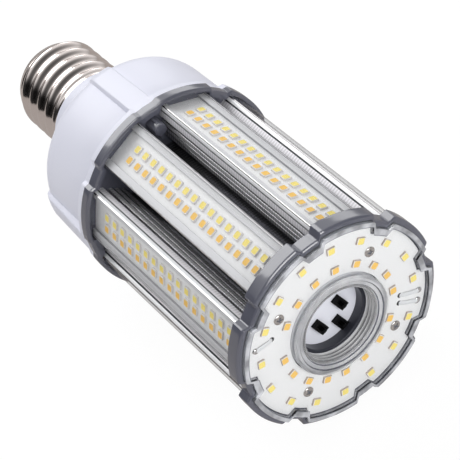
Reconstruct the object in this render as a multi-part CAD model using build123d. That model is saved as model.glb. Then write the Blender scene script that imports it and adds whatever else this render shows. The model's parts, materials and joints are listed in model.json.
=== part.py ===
from build123d import *
from math import cos, sin, radians
import os

os.makedirs("parts", exist_ok=True)

# All sizes are millimetres. The lamp is drawn standing on its contact, axis along +Z,
# and is laid on its side at the end.

# Lobed outline shared by the front ring, the rear collar and the clear end cover
strips = 8
step = 360 / strips
lobe_radius = 42.9
lobe_half = 15.2
lobe_slope = 2.5
wall = 1.6
recess_depth = 2.6
collar_recess_depth = 1.4
rib_drop = 0.8
fit = 0.1
recess_radius = lobe_radius - recess_depth
rib_radius = lobe_radius - rib_drop

# Clear strip covers and the arm heads that carry them
strip_cover_radius = lobe_radius - wall - 2 * fit
strip_cover_wall = 1.1
cover_rise = 4.1
lip_rise = 1.4
head_thick = 2.7
board_sink = 1.2
head_half = 10.05
leg_thick = 1.0
channel_half = 7.6
head_ledge = strip_cover_radius - cover_rise
head_high = head_ledge + lip_rise
head_low = head_ledge - head_thick
channel_floor = head_ledge - board_sink
lip_half = head_half - leg_thick

# Port in the end cover, the hub tube behind it and the arms' webs and fins
port_radius = 15.0
port_wall = 1.2
port_rim = 5.2
port_hole = port_radius + port_rim + 3 * fit
sleeve_bore = port_radius - 1.3
hub_bore = port_radius + 3.5
hub_radius = hub_bore + 3.0
sleeve_body = hub_bore - 3 * fit
sleeve_flange = port_hole - 4 * fit
web_half = 3.2
fin_thick = 1.0
fin_pitch = 2.7
fin_reach = [8.7, 7.9, 7.0]

# Lengths along the axis, from the contact to the end cover
contact_high = 2.8
shell_end = 11.4
shell_length = 38.1
neck_length = 11.5
shoulder_length = 15.0
barrel_length = 31.8
plate_thick = 1.6
collar_length = 4.0
sink_length = 100.35
ring_overlap = 2.35
board_thick = 1.6
led_high = 0.75
cover_gap = 0.15
cover_thick = 0.95
ring_drop = 1.7
rim_rise = 0.8
shell_top = shell_end + shell_length
neck_end = shell_top + neck_length
shoulder = neck_end + shoulder_length
collar_low = shoulder + barrel_length
sink_low = collar_low + plate_thick
collar_high = collar_low + collar_length
sink_high = sink_low + sink_length
ring_low = sink_high - ring_overlap
board_low = sink_high + plate_thick
end_top = board_low + board_thick
cover_low = end_top + led_high + cover_gap
cover_top = cover_low + cover_thick
ring_high = cover_top - ring_drop
ledge = ring_high - 5 * fit
rim_top = cover_top + rim_rise

# Strip boards and their LEDs
strip_width = 2 * channel_half - 2 * fit
strip_thick = 1.5
led_long = 3.5
led_short = 2.8
row_offset = 2.48
led_count = 16
first_led = 9.3
last_led = 8.9
led_pitch = (sink_length - first_led - last_led) / (led_count - 1)

# Round end board
board_lobe = lobe_radius - 4.2
board_recess = recess_radius - 4.8
cover_lobe = lobe_radius - 2.2
cover_recess = recess_radius - 2.1
outer_led_circle = board_recess - 2.5
inner_led_circle = port_hole + 3.4
outer_led_angles = [10, 31, 55, 78, 101, 123, 145, 166, 188, 210, 239, 260, 282, 304, 326, 348]
inner_led_angles = [7, 28, 64, 85, 107, 128, 148, 169, 189, 210, 239, 260, 281, 302, 324, 345]
end_screw_circle = (outer_led_circle + inner_led_circle) / 2
end_screw_angle = 22.5
pad_circle = board_lobe - 3.3
lead_radius = 0.45
lead_holes = [(pad_circle - 6.7, 38.6), (pad_circle - 8.4, 229.2), (pad_circle - 8.4, 222.1)]
lead_pads = [(pad_circle, 43.7), (pad_circle, 227.6), (pad_circle, 220.4)]
hub_spots = [(0.6 * port_radius, 38.6), (0.6 * port_radius, 236.0), (0.6 * port_radius, 215.0)]

# Slide switches at the bottom of the port
flange_low = sink_high - 1.85
flange_high = flange_low + 1.05
switch_plane = flange_low - 3.0
switch_board_radius = hub_bore - 0.5
switch_spots = [(-2.5, 5.6), (-2.5, -5.6), (-9.6, 0.0)]
switch_length = 6.4
switch_width = 3.6
switch_high = 1.7
slide_gap = 0.2
knob_length = 1.7
knob_width = 1.3
knob_high = 2.1
knob_travel = 2.2
slot_length = knob_length + knob_travel + 2 * slide_gap
slot_width = knob_width + 2 * slide_gap
slot_deep = 1.1

# Screws, blind bosses and screw pillars
screw_radius = 1.2
screw_fit = 0.05
head_radius = 2.4
fixing_circle = (hub_radius + head_low) / 2
boss_circle = lobe_radius - 8.2
boss_angle = -22.5
boss_radius = 2.6
boss_length = 6.6
pillar_radius = 3.4
pillar_length = 11.0

# Driver housing and lamp base
housing_wall = 2.2
housing_radius = lobe_radius - 3.3
housing_inside = housing_radius - housing_wall
rib_half = 6.8
rim_length = 3.3
thread_radius = 19.7
thread_depth = 1.25
thread_turns = 5
thread_pitch = shell_length / 6
shell_bore = thread_radius - 2.1
spigot_radius = shell_bore - 2 * fit
neck_radius = thread_radius + 1.3
contact_hole = thread_radius - 4.7
button_radius = thread_radius - 12.5
driver_radius = housing_inside - 7.4
driver_drop = 2.7
driver_low = collar_low - driver_drop - board_thick
driver_top = driver_low + board_thick
driver_screw_circle = driver_radius - 6.0


def at(radius, angle, z=0.0):
    return (radius * cos(radians(angle)), radius * sin(radians(angle)), z)


def disc(radius, low, high):
    return Pos(0, 0, low) * Cylinder(radius, high - low, align=(Align.CENTER, Align.CENTER, Align.MIN))


def post(radius, spot, low, high):
    return Pos(spot[0], spot[1], 0) * disc(radius, low, high)


def ring_of(outer, inner, low, high):
    return disc(outer, low, high) - disc(inner, low, high)


def block(x, y, z):
    # Box between the two limits given for each axis
    size = (x[1] - x[0], y[1] - y[0], z[1] - z[0])
    return Pos((x[0] + x[1]) / 2, (y[0] + y[1]) / 2, (z[0] + z[1]) / 2) * Box(*size)


def quarter_turns(first):
    return [first + 90 * k for k in range(4)]


def lobed(lobe, recess, low, high, half=lobe_half, rib_recess=None):
    # Prism with one lobe over each strip and a recess between two strips.
    # Every second recess lies in line with a housing rib and may have its own radius.
    edges = []
    for k in range(strips):
        mid = k * step
        rise = mid + step - half
        floor = recess
        if rib_recess and k % 2 == 1:
            floor = rib_recess
        edges.append(ThreePointArc(at(lobe, mid - half), at(lobe, mid), at(lobe, mid + half)))
        edges.append(Line(at(lobe, mid + half), at(floor, mid + half + lobe_slope)))
        edges.append(ThreePointArc(
            at(floor, mid + half + lobe_slope),
            at(floor, mid + step / 2),
            at(floor, rise - lobe_slope)))
        edges.append(Line(at(floor, rise - lobe_slope), at(lobe, rise)))
    face = make_face(edges)
    return extrude(Pos(0, 0, low) * face, amount=high - low)


def turned(points, angle=360.0):
    # Body of revolution from (radius, height) corners
    face = Plane.XZ * make_face(Polyline(*points, close=True))
    return revolve(face, Axis.Z, angle)


def wire(points, radius):
    # Round wire along straight runs with mitred corners
    path = Polyline(*points)
    start = Plane(origin=path @ 0, z_dir=path % 0)
    return sweep(start * Circle(radius), path=path, transition=Transition.RIGHT)


nodes = {}

# Lamp base: rolled thread, insulator and contact
crest = thread_radius
root = thread_radius - thread_depth
thread_start = shell_top - thread_pitch / 2
wave = []
for turn in range(thread_turns):
    top = thread_start - turn * thread_pitch
    wave.append((root, top - 0.06 * thread_pitch))
    wave.append((crest, top - 0.4 * thread_pitch))
    wave.append((crest, top - 0.6 * thread_pitch))
    wave.append((root, top - 0.94 * thread_pitch))
thread_end = thread_start - thread_turns * thread_pitch
skirt_radius = crest - 0.6
nodes["screw_shell"] = turned(
    [(shell_bore, shell_top), (skirt_radius, shell_top), (skirt_radius, thread_start + 0.6)]
    + wave
    + [(root, thread_end), (root - 0.9, thread_end - 1.6), (contact_hole, shell_end),
       (contact_hole, shell_end + 0.9), (shell_bore - 0.4, thread_end - 0.6), (shell_bore, thread_end + 0.4)])
nodes["base_insulator"] = turned(
    [(0, shell_end + 2.4), (contact_hole, shell_end + 2.4), (contact_hole, shell_end - 0.6),
     (contact_hole - 1.6, shell_end - 2.2), (button_radius + 1.6, contact_high + 0.8),
     (button_radius, contact_high), (0, contact_high)])
base_lead_radius = 0.8
nodes["base_insulator"] -= disc(base_lead_radius + 2 * fit, 0, shell_end + 3)
nodes["centre_contact"] = turned(
    [(0, 0), (0.5 * button_radius, 0), (0.8 * button_radius, 0.25 * contact_high),
     (button_radius - 0.2, 0.7 * contact_high), (button_radius - 0.2, contact_high), (0, contact_high)])

# Driver housing: round shell with a lobed rim, four raised ribs and screw pillars inside
flare = housing_radius - neck_radius
shoulder_shape = [(0.05, 0.16), (0.18, 0.28), (0.52, 0.44), (0.70, 0.55), (0.86, 0.71), (0.95, 0.87)]
shoulder_shape.append((0.98, 1.0))
dome = [(neck_radius + f * flare, neck_end + g * shoulder_length) for f, g in shoulder_shape]
rim_low = collar_low - rim_length
spigot_low = shell_top - 9
skin = turned(
    [(spigot_radius, spigot_low), (spigot_radius, shell_top), (neck_radius, shell_top),
     (neck_radius, neck_end)]
    + dome
    + [(housing_radius, rim_low), (housing_radius, collar_low), (0, collar_low), (0, spigot_low)])
rib_foot = housing_radius - 1.6
rib = turned(
    [(rib_foot - 4, shoulder - 4), (rib_foot - 4, shoulder - 6), (rib_foot - 0.6, shoulder - 5),
     (rib_foot + 1.9, shoulder - 2.4), (rib_radius - 1.1, shoulder + 0.8),
     (rib_radius, rim_low), (rib_radius, collar_low), (rib_foot, collar_low)], 2 * rib_half)
for angle in quarter_turns(boss_angle):
    skin += Rot(0, 0, angle - rib_half) * rib
skin += lobed(lobe_radius - 3 * fit, lobe_radius - collar_recess_depth - 3 * fit, rim_low, collar_low,
              rib_recess=rib_radius)
hollow = turned(
    [(0, spigot_low), (spigot_radius - 2, spigot_low), (spigot_radius - 2, neck_end + 3.5)]
    + [(f * flare + neck_radius - 1.6, neck_end + g * shoulder_length + 2.0) for f, g in shoulder_shape[1:-1]]
    + [(housing_inside, shoulder + 3), (housing_inside, collar_low), (0, collar_low)])
skin -= hollow
pillar_low = collar_low - pillar_length
register_low = collar_low - 2.5
for angle in quarter_turns(boss_angle):
    spot = at(boss_circle, angle)
    pillar = post(pillar_radius, spot, pillar_low, register_low - fit)
    skin += pillar & disc(housing_inside + 0.1, pillar_low, collar_low)
    skin -= post(screw_radius + 3 * fit, spot, pillar_low - 1, collar_low)
nodes["driver_housing"] = skin

# Rear collar: lobed skirt, plate with blind bosses in four gaps, posts for the driver board
strip_pocket = (strip_cover_radius + fit, strip_cover_radius - 2.6)
collar = lobed(lobe_radius, lobe_radius - collar_recess_depth, collar_low, collar_high, rib_recess=rib_radius)
collar -= lobed(*strip_pocket, sink_low, collar_high, lobe_half - 0.6)
collar += ring_of(housing_inside - 2 * fit, housing_inside - 2 * housing_wall, register_low, collar_low)
wire_way = port_radius - 1
collar -= disc(wire_way, collar_low, sink_low)
boss_high = sink_low + boss_length
for angle in quarter_turns(boss_angle):
    spot = at(boss_circle, angle)
    collar += post(boss_radius, spot, collar_low, boss_high)
    gusset = block((boss_circle - 5.6, boss_circle + 3.4), (-0.5, 0.5), (sink_low, boss_high - 1.6))
    collar += Rot(0, 0, angle) * gusset
    collar -= post(screw_radius + screw_fit, spot, register_low, boss_high - 1.4)
for angle in quarter_turns(end_screw_angle):
    spot = at(driver_screw_circle, angle)
    collar += post(2.8, spot, driver_top, collar_low)
    collar -= post(screw_radius + screw_fit, spot, driver_top, sink_low - 0.5)
for angle in quarter_turns(0):
    spot = at(fixing_circle, angle)
    collar -= post(screw_radius + 3 * fit, spot, collar_low, sink_low)
nodes["rear_collar"] = collar

# Heat sink: one extrusion with eight finned arms round a tube
arm = Pos((hub_bore + head_low) / 2 + 1, 0) * Rectangle(head_low - hub_bore, 2 * web_half)
arm += Pos((head_low + head_ledge) / 2, 0) * Rectangle(head_ledge - head_low, 2 * head_half)
arm += Pos((head_ledge + head_high) / 2, 0) * Rectangle(head_high - head_ledge, 2 * lip_half)
arm -= Pos((channel_floor + head_high) / 2, 0) * Rectangle(head_high - channel_floor, 2 * channel_half)
for k, reach in enumerate(fin_reach):
    arm += Pos(head_low - (k + 1) * fin_pitch - 0.4, 0) * Rectangle(fin_thick, 2 * reach)
section = Circle(hub_radius)
for k in range(strips):
    section += Rot(0, 0, k * step) * arm
section -= Circle(hub_bore)
sink = extrude(Pos(0, 0, sink_low) * section, amount=sink_high - sink_low)
sink -= disc(hub_radius + 0.8, flange_low, sink_high)
lead_turn = flange_low - 7.1
for angle in (step, step + 180):
    notch = block((hub_bore - 2, pad_circle - 4.4), (-4.4, 4.4), (lead_turn - 1.4, sink_high))
    sink -= Rot(0, 0, angle) * notch
screw_deep = 8.0
for angle in quarter_turns(0):
    spot = at(fixing_circle, angle)
    sink -= post(screw_radius + screw_fit, spot, sink_low, sink_low + screw_deep)
    sink -= post(screw_radius + screw_fit, spot, sink_high - screw_deep, sink_high)
nodes["heat_sink"] = sink

# Fixing screws of the collar, the ring, the housing and the driver board
screw_sets = {"collar_screws": [], "ring_screws": [], "housing_screws": [], "driver_screws": []}
for angle in quarter_turns(0):
    spot = at(fixing_circle, angle)
    shank = post(screw_radius, spot, collar_low, sink_low + 6)
    screw_sets["collar_screws"].append(post(head_radius, spot, collar_low - 1.5, collar_low) + shank)
    shank = post(screw_radius, spot, sink_high - 6, board_low)
    screw_sets["ring_screws"].append(post(head_radius, spot, board_low - 0.95, board_low) + shank)
for angle in quarter_turns(boss_angle):
    spot = at(boss_circle, angle)
    shank = post(screw_radius, spot, pillar_low, boss_high - 2)
    screw_sets["housing_screws"].append(post(head_radius, spot, pillar_low - 1.6, pillar_low) + shank)
for angle in quarter_turns(end_screw_angle):
    spot = at(driver_screw_circle, angle)
    shank = post(screw_radius, spot, driver_low, collar_low)
    screw_sets["driver_screws"].append(post(head_radius, spot, driver_low - 1.4, driver_low) + shank)
for name, screws in screw_sets.items():
    nodes[name] = Compound(screws)

# Strip boards, LEDs and clear snap-on covers
board_top = channel_floor + strip_thick
board = block((channel_floor, board_top), (-strip_width / 2, strip_width / 2), (sink_low, sink_high))


def led_row(offset):
    row = []
    for k in range(led_count):
        z = sink_low + first_led + led_pitch * k
        row.append(block((board_top, board_top + led_high), (offset - led_long / 2, offset + led_long / 2),
                         (z - led_short / 2, z + led_short / 2)))
    return row


arch = ring_of(strip_cover_radius, strip_cover_radius - strip_cover_wall, sink_low, sink_high)
arch = arch & block((0, 2 * lobe_radius), (-head_half, head_half), (sink_low, sink_high))
legs = disc(strip_cover_radius - strip_cover_wall / 2, sink_low, sink_high)
legs = legs & block((head_ledge, 2 * lobe_radius), (lip_half + screw_fit, head_half), (sink_low, sink_high))
strip_cover = arch + legs + mirror(legs, about=Plane.XZ)
cool = []
warm = []
for k in range(strips):
    spin = Rot(0, 0, k * step)
    nodes["strip_board_%d" % (k + 1)] = spin * board
    nodes["strip_cover_%d" % (k + 1)] = spin * strip_cover
    cool += [spin * led for led in led_row(-row_offset)]
    warm += [spin * led for led in led_row(row_offset)]
nodes["strip_leds_cool"] = Compound(cool)
nodes["strip_leds_warm"] = Compound(warm)

# Front ring: lobed skirt over the strip ends, plate, screw bosses and a rebate for the cover
ring = lobed(lobe_radius, recess_radius, ring_low, ring_high)
ring -= lobed(*strip_pocket, ring_low, sink_high, lobe_half - 0.6)
ring -= lobed(board_lobe + 2 * fit, board_recess + 2 * fit, board_low, ring_high)
ring -= lobed(cover_lobe + fit, cover_recess + fit, ledge, ring_high)
ring -= disc(port_hole, sink_high, board_low)
boss_low = sink_high - 7.8
for angle in quarter_turns(end_screw_angle):
    spot = at(end_screw_circle, angle)
    ring += post(2.9, spot, boss_low, board_low)
    ring -= post(screw_radius + screw_fit, spot, boss_low + 1.2, board_low)
for angle in quarter_turns(0):
    spot = at(fixing_circle, angle)
    ring -= post(screw_radius + 3 * fit, spot, sink_high, board_low)
    ring -= post(head_radius + 3 * fit, spot, board_low - 0.95, board_low)
for hole in lead_holes:
    ring -= post(lead_radius + 6 * fit, at(*hole), sink_high, board_low)
nodes["front_ring"] = ring

# End board with two circles of LEDs, its screws, leads and solder
end_board = lobed(board_lobe, board_recess, board_low, end_top) - disc(port_hole, board_low, end_top)
for angle in quarter_turns(end_screw_angle):
    end_board -= post(screw_radius + 2 * fit, at(end_screw_circle, angle), board_low, end_top)
for hole in lead_holes:
    end_board -= post(lead_radius + 3 * fit, at(*hole), board_low, end_top)
nodes["end_board"] = end_board


def end_leds(radius, angles):
    one = block((radius - led_short / 2, radius + led_short / 2), (-led_long / 2, led_long / 2),
                (end_top, end_top + led_high))
    return Compound([Rot(0, 0, angle) * one for angle in angles])


nodes["end_leds_cool"] = end_leds(outer_led_circle, outer_led_angles)
nodes["end_leds_warm"] = end_leds(inner_led_circle, inner_led_angles)
end_screws = []
end_head = led_high + 0.1
for angle in quarter_turns(end_screw_angle):
    head = turned([(0, end_top), (2.1, end_top), (2.1, end_top + 0.3), (1.5, end_top + 0.85 * end_head),
                   (0, end_top + end_head)])
    head += disc(screw_radius, boss_low + 2, end_top)
    head -= block((-1.1, 1.1), (-0.2, 0.2), (end_top + 0.4, end_top + 1))
    head -= block((-0.2, 0.2), (-1.1, 1.1), (end_top + 0.4, end_top + 1))
    end_screws.append(Pos(*at(end_screw_circle, angle)) * head)
nodes["end_screws"] = Compound(end_screws)
leads = []
solder = []
lead_z = end_top + lead_radius
blob = turned([(0, end_top), (1.25, end_top), (1.1, end_top + 0.45), (0.6, end_top + end_head),
               (0, end_top + end_head)])
for hole, pad, hub in zip(lead_holes, lead_pads, hub_spots):
    run = [at(*hub, driver_top), at(*hub, lead_turn), at(*hole, lead_turn), at(*hole, lead_z)]
    run.append(at(*pad, lead_z))
    leads.append(wire(run, lead_radius))
    solder.append(Pos(*at(*pad)) * blob)
nodes["end_solder"] = Compound(solder)
nodes["end_leads"] = Compound([lead - nodes["end_solder"] for lead in leads])

# Clear end cover: lobed cap with the port collar
skirt_gap = 3 * fit
cover = lobed(cover_lobe, cover_recess, ledge, cover_top)
cover -= lobed(board_lobe + skirt_gap, board_recess + skirt_gap, ledge, cover_low)
cover += disc(port_hole - 3 * fit, cover_low, rim_top)
cover += ring_of(port_hole - 3 * fit, port_hole - 3 * fit - port_wall, board_low - 0.6, cover_low)
cover += disc(port_radius + port_wall, flange_high, cover_low)
cover -= disc(port_radius, flange_low, rim_top)
nodes["end_cover"] = cover

# Dark sleeve, switch board and three slide switches
sleeve = disc(sleeve_flange, flange_low, flange_high) + disc(sleeve_body, switch_plane, flange_high)
nodes["switch_sleeve"] = sleeve - disc(sleeve_bore, switch_plane, flange_high)
nodes["switch_board"] = disc(switch_board_radius, switch_plane - board_thick, switch_plane)
switch_top = switch_plane + switch_high
slot_floor = switch_top - slot_deep
for k, (x, y) in enumerate(switch_spots):
    case = block((x - switch_length / 2, x + switch_length / 2), (y - switch_width / 2, y + switch_width / 2),
                 (switch_plane, switch_top))
    case -= block((x - slot_length / 2, x + slot_length / 2), (y - slot_width / 2, y + slot_width / 2),
                  (slot_floor, switch_top))
    nodes["switch_case_%d" % (k + 1)] = case
    knob_start = x - slot_length / 2 + slide_gap
    nodes["switch_knob_%d" % (k + 1)] = block(
        (knob_start, knob_start + knob_length), (y - knob_width / 2, y + knob_width / 2),
        (slot_floor + slide_gap, slot_floor + slide_gap + knob_high))

# Driver inside the housing and its wires
driver_board = disc(driver_radius, driver_low, driver_top)
for angle in quarter_turns(end_screw_angle):
    driver_board -= post(screw_radius + fit, at(driver_screw_circle, angle), driver_low, driver_top)
nodes["driver_board"] = driver_board
core_low = driver_low - 0.5 * driver_radius
core_bar = 0.1 * driver_radius
core_side = 0.3 * driver_radius
core_left = -0.56 * driver_radius
core_span = 0.72 * driver_radius
window_low = core_low + core_bar
window_high = driver_low - core_bar
core = block((core_left, core_left + core_span), (-core_side, core_side), (core_low, driver_low))
leg_left = core_left + core_span / 2 - core_bar
leg_right = core_left + core_span / 2 + core_bar
core -= block((core_left + core_bar, leg_left), (-core_side, core_side), (window_low, window_high))
core_right = core_left + core_span - core_bar
core -= block((leg_right, core_right), (-core_side, core_side), (window_low, window_high))
nodes["transformer"] = core
coil = block((leg_left, leg_right), (-1.35 * core_side, 1.35 * core_side), (window_low, window_high))
coil -= block((leg_left, leg_right), (-core_side, core_side), (window_low, window_high))
nodes["transformer_coil"] = coil
can_radius = 0.25 * driver_radius
can_spot = (0.47 * driver_radius, 0.0)
choke_spot = (0.33 * driver_radius, -0.47 * driver_radius)
nodes["capacitor"] = post(can_radius, can_spot, driver_low - 0.9 * driver_radius, driver_low)
nodes["choke"] = post(0.18 * driver_radius, choke_spot, driver_low - 0.45 * driver_radius, driver_low)
side_y = -0.53 * driver_radius
centre_y = 0.47 * driver_radius
neck_y = 0.7 * spigot_radius
bend = driver_low - 0.65 * driver_radius
nodes["side_lead"] = wire(
    [(0, side_y, driver_low), (0, side_y, bend), (0, -neck_y, neck_end + 9), (0, -neck_y, shell_end + 18),
     (0, base_lead_radius - shell_bore, shell_end + 13)], base_lead_radius)
nodes["side_lead"] = nodes["side_lead"] & disc(driver_radius, shell_end, driver_low)
nodes["centre_lead"] = wire(
    [(0, centre_y, driver_low), (0, centre_y, bend), (0, neck_y, neck_end + 6), (0, neck_y, shell_end + 18),
     (0, 0, shell_end + 8), (0, 0, contact_high)], base_lead_radius)
cable_radius = 1.5
nodes["switch_cable"] = post(cable_radius, (-4.0, 0), driver_top, switch_plane - board_thick)

# Laid on its side with a ribbed recess between two lobes straight down, end cover towards -Y
tilt = step / 2
lying = Plane(origin=(0, 0, 0), x_dir=(-sin(radians(tilt)), 0, cos(radians(tilt))), z_dir=(0, -1, 0)).location
floor_level = (lying * nodes["front_ring"]).bounding_box().min.Z
far = (lying * nodes["centre_contact"]).bounding_box().max.Y
near = (lying * nodes["end_cover"]).bounding_box().min.Y
place = Pos(0, -(far + near) / 2, -floor_level) * lying
for name, shape in nodes.items():
    export_step(place * shape, "parts/%s.step" % name)
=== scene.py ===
import bpy
import json
import numpy as np
from mathutils import Matrix, Vector


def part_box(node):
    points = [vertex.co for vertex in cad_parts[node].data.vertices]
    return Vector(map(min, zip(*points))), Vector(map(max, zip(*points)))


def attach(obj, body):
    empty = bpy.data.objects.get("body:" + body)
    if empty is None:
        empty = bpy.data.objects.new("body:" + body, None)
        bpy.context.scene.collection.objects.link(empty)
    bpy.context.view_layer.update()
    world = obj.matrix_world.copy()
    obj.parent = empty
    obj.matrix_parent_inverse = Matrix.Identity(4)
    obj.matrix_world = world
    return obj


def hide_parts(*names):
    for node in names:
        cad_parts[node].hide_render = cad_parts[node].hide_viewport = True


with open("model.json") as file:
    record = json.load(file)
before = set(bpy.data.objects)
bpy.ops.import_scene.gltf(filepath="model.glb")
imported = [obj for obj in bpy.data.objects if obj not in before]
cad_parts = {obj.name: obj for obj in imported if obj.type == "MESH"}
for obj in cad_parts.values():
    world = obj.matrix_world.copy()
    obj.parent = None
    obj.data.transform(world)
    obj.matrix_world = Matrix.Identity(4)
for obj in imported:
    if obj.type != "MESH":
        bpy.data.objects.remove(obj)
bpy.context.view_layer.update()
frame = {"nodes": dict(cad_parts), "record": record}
scene = bpy.context.scene
scene.view_settings.view_transform = "Standard"

# Lamp frame: millimetres, Z along the axis from the contact tip, X through the middle of strip 1.
# The lamp lies along -Y with a gap between two strips straight down.
strips = 8
stripStep = 360 / strips
gapTurn = stripStep / 2
layTurn = np.radians(gapTurn)
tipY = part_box("centre_contact")[1].y
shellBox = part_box("screw_shell")
axisZ = (shellBox[0].z + shellBox[1].z) / 2
threadRadius = (shellBox[1].z - shellBox[0].z) * 500
restCorner = 7.3  # the lamp rests on lobe corners this many degrees off the gap
lobeRadius = axisZ * 1000 / np.cos(np.radians(restCorner))
quarters = 90 * np.arange(4)  # ribs, bosses and screws stand in every second gap


def toWorld(p):
    # x and z turn by the lay angle, the lamp's length runs along -y
    s, c = np.sin(layTurn), np.cos(layTurn)
    x, y, z = p[:, 0], p[:, 1], p[:, 2]
    return np.stack([(-s * x - c * y) / 1000, tipY - z / 1000, axisZ + (c * x - s * y) / 1000], axis=1)


def span(node):
    # lowest and highest place of a CAD node along the lamp's axis, in millimetres
    low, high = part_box(node)
    return (tipY - high.y) * 1000, (tipY - low.y) * 1000


shellLow, shellHigh = span("screw_shell")
housingHigh = span("driver_housing")[1]
sinkLow, sinkHigh = span("heat_sink")
boardLow, boardHigh = span("end_board")
ringHigh = span("front_ring")[1]
portLow, rimTop = span("end_cover")
sleeveLow, sleeveHigh = span("switch_sleeve")

# Grids and profiles. A shape is its points and its faces, in blocks of faces with equally many corners.


def gridFaces(rows, cols, closeRows=False, closeCols=False):
    # quads between neighbouring points of a rows x cols grid, either way closing on itself
    row = np.arange(rows - (not closeRows))[:, None]
    col = np.arange(cols - (not closeCols))[None]
    nextRow, nextCol = (row + 1) % rows, (col + 1) % cols
    corners = [row * cols + col, row * cols + nextCol, nextRow * cols + nextCol, nextRow * cols + col]
    return np.stack(corners, axis=-1).reshape(-1, 4)


def fullTurn(count):
    # evenly spaced angles of one turn, as a row
    return np.linspace(0, 2 * np.pi, count, endpoint=False)[None]


def polar(radius, angle, z):
    # points at a radius, an angle in radians and a height
    return np.stack(np.broadcast_arrays(radius * np.cos(angle), radius * np.sin(angle), z), axis=-1)


def roundCorners(path, cut, steps=4, hold=False):
    # closed polyline with every corner replaced by a quadratic arc that starts and ends a cut away from it;
    # hold adds a point on each side, so that smooth shading keeps the flats flat
    path = np.asarray(path, float)
    cut = np.broadcast_to(np.asarray(cut, float), (len(path),))[:, None]
    before, after = np.roll(path, 1, 0) - path, np.roll(path, -1, 0) - path
    reach = [np.minimum(cut / np.linalg.norm(v, axis=1, keepdims=True), 0.49) for v in (before, after)]
    a, b = path + before * reach[0], path + after * reach[1]
    t = np.linspace(0, 1, steps)[None, :, None]
    arc = (1 - t) ** 2 * a[:, None] + 2 * t * (1 - t) * path[:, None] + t ** 2 * b[:, None]
    if hold:
        edges = [path + v * (r * 0.5 + 0.25) for v, r in zip((before, after), reach)]
        arc = np.concatenate([edges[0][:, None], arc, edges[1][:, None]], axis=1)
    return arc.reshape(-1, path.shape[1])


def rampEase(x, ease=0.22):
    # straight ramp from 0 to 1 with rounded ends
    x = np.clip(x, 0, 1)
    k = 2 * ease * (1 - ease)
    middle = (x - ease / 2) / (1 - ease)
    return np.where(x < ease, x * x / k, np.where(x > 1 - ease, 1 - (1 - x) ** 2 / k, middle))


lobeShape = {"half": 15.2, "slope": 2.6, "onLobe": 10, "onSide": 9, "inGap": 7, "perCorner": 4}
rowsPerCorner = lobeShape["perCorner"] + 2  # rows that a sweep makes of each corner of its profile


def lobeAngles():
    # degrees round the lamp, close together on the sides of the lobes
    h, s = lobeShape["half"], lobeShape["slope"]
    stops = [-h, h, h + s, stripStep - h - s, stripStep - h]
    counts = [lobeShape[key] for key in ("onLobe", "onSide", "inGap", "onSide")]
    one = np.concatenate([np.linspace(a, b, n, endpoint=False) for a, b, n in zip(stops, stops[1:], counts)])
    return (one[None] + stripStep * np.arange(strips)[:, None]).ravel()


def lobedRadius(angle, lobe, gap, ribGap, inset=0.0):
    # lobe radius over each strip, gap radius or every second time rib-gap radius between strips,
    # and a rounded ramp on the lobe's sides
    off = np.abs((angle + gapTurn) % stripStep - gapTurn)
    ribbed = np.floor(((angle - gapTurn) % 360) / stripStep + 0.5).astype(int) % 2 == 1
    floor = np.where(ribbed, ribGap, gap)
    ramp = rampEase((lobeShape["half"] + lobeShape["slope"] - inset - off) / lobeShape["slope"])
    return floor + (lobe - floor) * ramp


def lobeRow(lobe, gap, z, inset=0):
    # row of a sweep with all its gaps alike
    return lobe, gap, gap, inset, z


def roundRow(radius, z):
    # row of a sweep that is a plain circle
    return radius, radius, radius, 0, z


def lobedSweep(rows, cut):
    # closed loop of lobed outlines; a row is lobe radius, gap radius, rib-gap radius, side inset and height
    loop = roundCorners(rows, cut, lobeShape["perCorner"], True)
    angle = lobeAngles()[None]
    lobe, gap, rib, inset, z = np.split(loop, 5, axis=1)
    points = polar(lobedRadius(angle, lobe, gap, rib, inset), np.radians(angle), z)
    return points.reshape(-1, 3), [gridFaces(len(loop), angle.size, True, True)]


def turnedRing(profile, cut, steps=5, count=160):
    # closed (radius, height) outline carried round the axis
    loop = roundCorners(profile, cut, steps)
    points = polar(loop[:, :1], fullTurn(count), loop[:, 1:])
    return points.reshape(-1, 3), [gridFaces(len(loop), count, True, True)]


def turnedSolid(profile, count=40):
    # (radius, height) profile from pole to pole carried round the axis, with a fan of triangles at each pole
    profile = np.asarray(profile, float)
    body = profile[1:-1]
    points = polar(body[:, :1], fullTurn(count), body[:, 1:]).reshape(-1, 3)
    poles = np.array([[0, 0, profile[0, 1]], [0, 0, profile[-1, 1]]])
    k = np.arange(count)
    ahead = (k + 1) % count
    first = len(points)
    top = first - count
    fans = [np.stack([0 * k + first, ahead, k], 1), np.stack([0 * k + first + 1, top + k, top + ahead], 1)]
    return np.concatenate([points, poles]), [gridFaces(len(body), count, False, True), *fans]


def capped(rows, cols):
    # faces of a grid that closes along its rows, with one face over its first row and one over its last
    rim = np.arange(cols)[None]
    return [gridFaces(rows, cols, False, True), rim[:, ::-1], rim + (rows - 1) * cols]


def prism(section, low, high):
    # flat (x, y) outline drawn out between two heights
    points = np.concatenate([np.c_[section, np.full(len(section), z)] for z in (low, high)])
    return points, capped(2, len(section))


def spun(points, angle):
    # points turned about the lamp's axis by degrees
    s, c = np.sin(np.radians(angle)), np.cos(np.radians(angle))
    x, y, z = points.T
    return np.stack([x * c - y * s, x * s + y * c, z], axis=1)


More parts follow.
